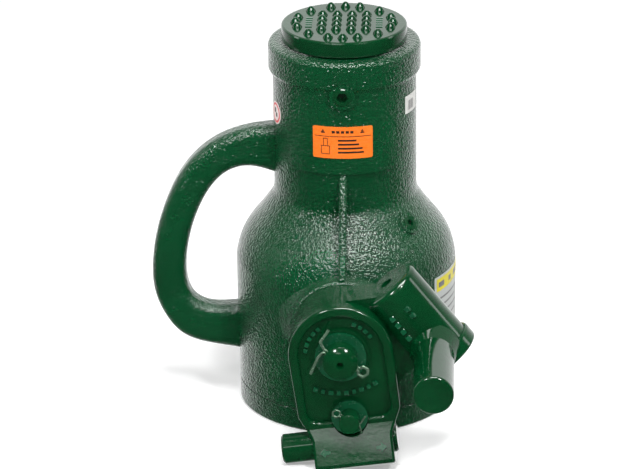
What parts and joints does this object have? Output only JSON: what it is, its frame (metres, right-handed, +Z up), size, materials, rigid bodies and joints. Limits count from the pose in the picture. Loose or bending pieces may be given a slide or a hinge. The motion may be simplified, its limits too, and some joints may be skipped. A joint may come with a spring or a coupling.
{
  "type": "mechanical ratchet screw jack",
  "caption": "Bell-shaped screw jack with a side carrying handle, spiked swivel load cap, bevel-gear drive and a ratchet head with lever socket, grip and reversing bar.",
  "frame": {"origin": "centre of the round base where it stands on the floor", "axes": "+Z up along the lift screw; -Y is the side with the ratchet head; -X is the side with the carrying handle"},
  "size_m": [0.2668, 0.3215, 0.3301],
  "materials": {
    "green_cast": "gloss enamel over rough cast iron",
    "green_smooth": "gloss enamel over smooth steel",
    "steel": "oiled machined steel",
    "bronze": "machined bronze",
    "seal": "matt",
    "label_orange": "printed vinyl",
    "label_white": "printed vinyl",
    "label_grey": "printed vinyl",
    "label_yellow": "printed vinyl"
  },
  "bodies": {
    "base": {"jack_body": "green_cast", "base_plate": "green_cast", "base_plate_screws": "steel", "lower_race": "steel", "neck_bushing": "bronze", "wiper_ring": "seal", "guide_screw": "green_smooth", "grease_plug": "green_smooth", "pinion_bushing": "bronze", "label_front": "label_orange", "label_round": "label_white", "label_small": "label_grey", "label_side": "label_yellow"},
    "screw": {"lift_screw": "steel", "bevel_gear": "steel", "gear_key": "steel", "upper_race": "steel"},
    "ball_cage": {"thrust_cage": "bronze", "thrust_balls": "steel"},
    "ram": {"ram": "steel", "lift_nut": "bronze", "nut_lock_screws": "steel"},
    "cap": {"load_cap": "green_smooth", "cap_dog_screws": "steel"},
    "pinion": {"pinion_shaft": "green_smooth", "bevel_pinion": "steel", "pinion_pin": "steel", "ratchet_wheel": "steel", "ratchet_key": "steel", "shaft_washer": "green_smooth", "shaft_cotter": "green_smooth"},
    "head": {"ratchet_case": "green_smooth", "case_back_plate": "green_smooth", "back_plate_screws": "steel", "crank_grip": "green_smooth", "pawl_pin": "green_smooth", "pawl_washer": "green_smooth", "pawl_cotter": "green_smooth", "detent_ball": "steel", "detent_spring": "steel", "detent_plug": "steel"},
    "bar": {"reversing_bar": "green_smooth"},
    "pawl": {"pawl": "steel"}
  },
  "joints": [
    {"name": "screw_spin", "type": "hinge", "parent": "base", "child": "screw", "pos_m": [0, 0, 0], "axis": [0, 0, -1], "range_deg": [0, 8400]},
    {"name": "ball_cage_spin", "type": "hinge", "parent": "base", "child": "ball_cage", "pos_m": [0, 0, 0], "axis": [0, 0, -1], "range_deg": [-1, 4201]},
    {"name": "ram_lift", "type": "slide", "parent": "base", "child": "ram", "axis": [0, 0, 1], "range_m": [-0.0002, 0.1402]},
    {"name": "cap_swivel", "type": "hinge", "parent": "ram", "child": "cap", "pos_m": [0, 0, 0.31], "axis": [0, 0, 1], "continuous": true},
    {"name": "pinion_spin", "type": "hinge", "parent": "base", "child": "pinion", "pos_m": [0, -0.1, 0.0965], "axis": [0, 1, 0], "range_deg": [-1, 25201]},
    {"name": "head_swing", "type": "hinge", "parent": "base", "child": "head", "pos_m": [0, -0.1, 0.0965], "axis": [0, -1, 0], "range_deg": [0, 120]},
    {"name": "reverse_slide", "type": "slide", "parent": "head", "child": "bar", "axis": [0.9919, 0, 0.1271], "range_m": [-0.0055, 0.0055]},
    {"name": "pawl_rock", "type": "hinge", "parent": "head", "child": "pawl", "pos_m": [0.00673, -0.122, 0.04393], "axis": [0, -1, 0], "range_deg": [-12.51, 12.51]}
  ],
  "couplings": [
    {"joint": "ball_cage_spin", "follows": "screw_spin", "ratio": 0.5},
    {"joint": "ram_lift", "follows": "screw_spin", "m_per_rad": 0.00095493},
    {"joint": "pinion_spin", "follows": "screw_spin", "ratio": 3},
    {"joint": "pawl_rock", "follows": "reverse_slide", "rad_per_m": 39.373}
  ]
}
